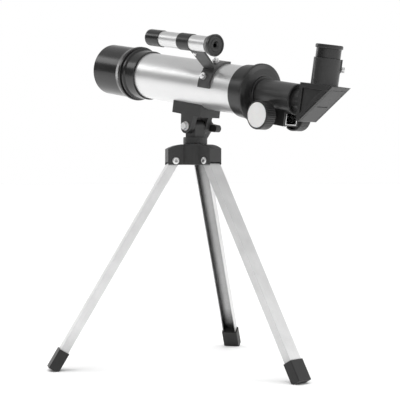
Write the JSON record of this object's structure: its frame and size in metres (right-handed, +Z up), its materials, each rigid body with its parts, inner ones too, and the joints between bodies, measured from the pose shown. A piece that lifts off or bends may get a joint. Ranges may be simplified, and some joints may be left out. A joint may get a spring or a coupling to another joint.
{
  "type": "refracting telescope on table tripod",
  "caption": "Small refracting telescope with a right-angle eyepiece holder, side finder scope, rack focuser and a folding table-top tripod with channel legs.",
  "frame": {"origin": "on the floor, where the pan axis meets it, at the centre of the circle through the three feet", "axes": "+Z up along the pan axis; the tube points towards -X, tilted up 9.8 degrees, with its eyepiece end towards +X; the finder is on the -Y side"},
  "size_m": [0.3729, 0.3018, 0.3838],
  "materials": {
    "silver_paint": "satin silver paint",
    "gloss_plastic": "glossy black moulded plastic",
    "black_plastic": "semi-matt black moulded plastic",
    "head_plastic": "dark grey glass-filled plastic, finely pitted",
    "hub_plastic": "dark grey glass-filled plastic, finely pitted",
    "knob_plastic": "black moulded plastic",
    "cap_white": "white enamelled disc",
    "leg_aluminium": "satin anodised extrusion",
    "foot_rubber": "moulded rubber",
    "rivet_steel": "nickel plated",
    "screw_steel": "zinc plated",
    "chrome_steel": "bright chrome plate",
    "retainer_steel": "bright pressed sheet",
    "bracket_paint": "black powder coat",
    "gear_plastic": "dark moulded acetal",
    "lens_glass": "coated optical glass",
    "mirror_glass": "front-aluminised glass",
    "spacer_foil": "thin foil ring",
    "baffle_black": "flat black",
    "nylon": "natural nylon"
  },
  "bodies": {
    "base": {"tripod_hub": "hub_plastic", "leg_rivet_1": "rivet_steel", "leg_rivet_2": "rivet_steel", "leg_rivet_3": "rivet_steel"},
    "leg_1_fold": {"leg_1": "leg_aluminium", "foot_1": "foot_rubber"},
    "leg_2_fold": {"leg_2": "leg_aluminium", "foot_2": "foot_rubber"},
    "leg_3_fold": {"leg_3": "leg_aluminium", "foot_3": "foot_rubber"},
    "pan_head": {"pan_post": "head_plastic", "pan_washer": "nylon", "retaining_washer": "screw_steel", "pan_bolt": "screw_steel"},
    "tube": {"tube_cradle": "head_plastic", "cradle_screws": "screw_steel", "cradle_nuts": "screw_steel", "tilt_washers": "screw_steel", "tilt_bolt": "screw_steel", "main_tube": "silver_paint", "dew_shield": "gloss_plastic", "objective_cell": "black_plastic", "crown_lens": "lens_glass", "flint_lens": "lens_glass", "lens_spacer": "spacer_foil", "lens_retaining_ring": "black_plastic", "front_baffle": "baffle_black", "rear_baffle": "baffle_black", "focuser_housing": "black_plastic", "pinion_retainer": "retainer_steel", "retainer_screws": "screw_steel", "finder_tube": "silver_paint", "finder_front_cell": "gloss_plastic", "finder_objective": "lens_glass", "finder_ring": "black_plastic", "finder_bracket": "bracket_paint", "bracket_studs": "chrome_steel", "bracket_nuts": "chrome_steel", "finder_clamp_screw": "chrome_steel"},
    "finder_eyepiece": {"finder_eyecup": "black_plastic", "finder_eye_lens": "lens_glass"},
    "tilt_knob": {"tilt_knob": "knob_plastic"},
    "focus_shaft": {"pinion_shaft": "screw_steel", "pinion_gear": "gear_plastic", "left_focus_knob": "knob_plastic", "right_focus_knob": "knob_plastic", "left_knob_cap": "cap_white", "right_knob_cap": "cap_white"},
    "drawtube": {"drawtube": "gloss_plastic", "drawtube_socket": "black_plastic"},
    "diagonal": {"diagonal_body": "black_plastic", "diagonal_mirror": "mirror_glass", "diagonal_cover": "black_plastic", "diagonal_side_panels": "gloss_plastic"},
    "thumbscrew": {"eyepiece_thumbscrew": "chrome_steel"},
    "eyepiece": {"eyepiece_barrel": "gloss_plastic", "field_lens": "lens_glass", "field_lens_ring": "baffle_black", "eyepiece_cap": "black_plastic", "eye_lens": "lens_glass"}
  },
  "joints": [
    {"name": "pan", "type": "hinge", "parent": "base", "child": "pan_head", "pos_m": [0, 0, 0.254], "axis": [0, 0, 1], "continuous": true},
    {"name": "tilt", "type": "hinge", "parent": "pan_head", "child": "tube", "pos_m": [0, 0, 0.275], "axis": [0, 1, 0], "range_deg": [-30, 50]},
    {"name": "tilt_knob_turn", "type": "hinge", "parent": "tube", "child": "tilt_knob", "pos_m": [0, 0.02, 0.275], "axis": [0, 1, 0], "range_deg": [0, 360]},
    {"name": "focus_knob_turn", "type": "hinge", "parent": "tube", "child": "focus_shaft", "pos_m": [0.13151, 0, 0.28148], "axis": [0, 1, 0], "range_deg": [-59.93, 501.95]},
    {"name": "focus_rack", "type": "slide", "parent": "tube", "child": "drawtube", "axis": [0.9854, 0, -0.1702], "range_m": [-0.005, 0.042]},
    {"name": "diagonal_turn", "type": "hinge", "parent": "drawtube", "child": "diagonal", "pos_m": [0.17087, 0, 0.29549], "axis": [0.9854, 0, -0.1702], "range_deg": [-90, 90]},
    {"name": "eyepiece_pull", "type": "slide", "parent": "diagonal", "child": "eyepiece", "axis": [0.1702, 0, 0.9854], "range_m": [0, 0.03]},
    {"name": "eyepiece_thumbscrew_turn", "type": "hinge", "parent": "diagonal", "child": "thumbscrew", "pos_m": [0.197, 0, 0.3275], "axis": [0.6968, 0.7071, -0.1204], "range_deg": [0, 360]},
    {"name": "finder_focus", "type": "slide", "parent": "tube", "child": "finder_eyepiece", "axis": [0.9854, 0, -0.1702], "range_m": [0, 0.006]},
    {"name": "leg_1_hinge", "type": "hinge", "parent": "base", "child": "leg_1_fold", "pos_m": [0.0248, 0, 0.2354], "axis": [0, 1, 0], "range_deg": [0, 30]},
    {"name": "leg_2_hinge", "type": "hinge", "parent": "base", "child": "leg_2_fold", "pos_m": [-0.0124, 0.02148, 0.2354], "axis": [-0.866, -0.5, 0], "range_deg": [0, 30]},
    {"name": "leg_3_hinge", "type": "hinge", "parent": "base", "child": "leg_3_fold", "pos_m": [-0.0124, -0.02148, 0.2354], "axis": [0.866, -0.5, 0], "range_deg": [0, 30]}
  ],
  "couplings": [
    {"joint": "focus_knob_turn", "follows": "focus_rack", "rad_per_m": 208.33}
  ]
}
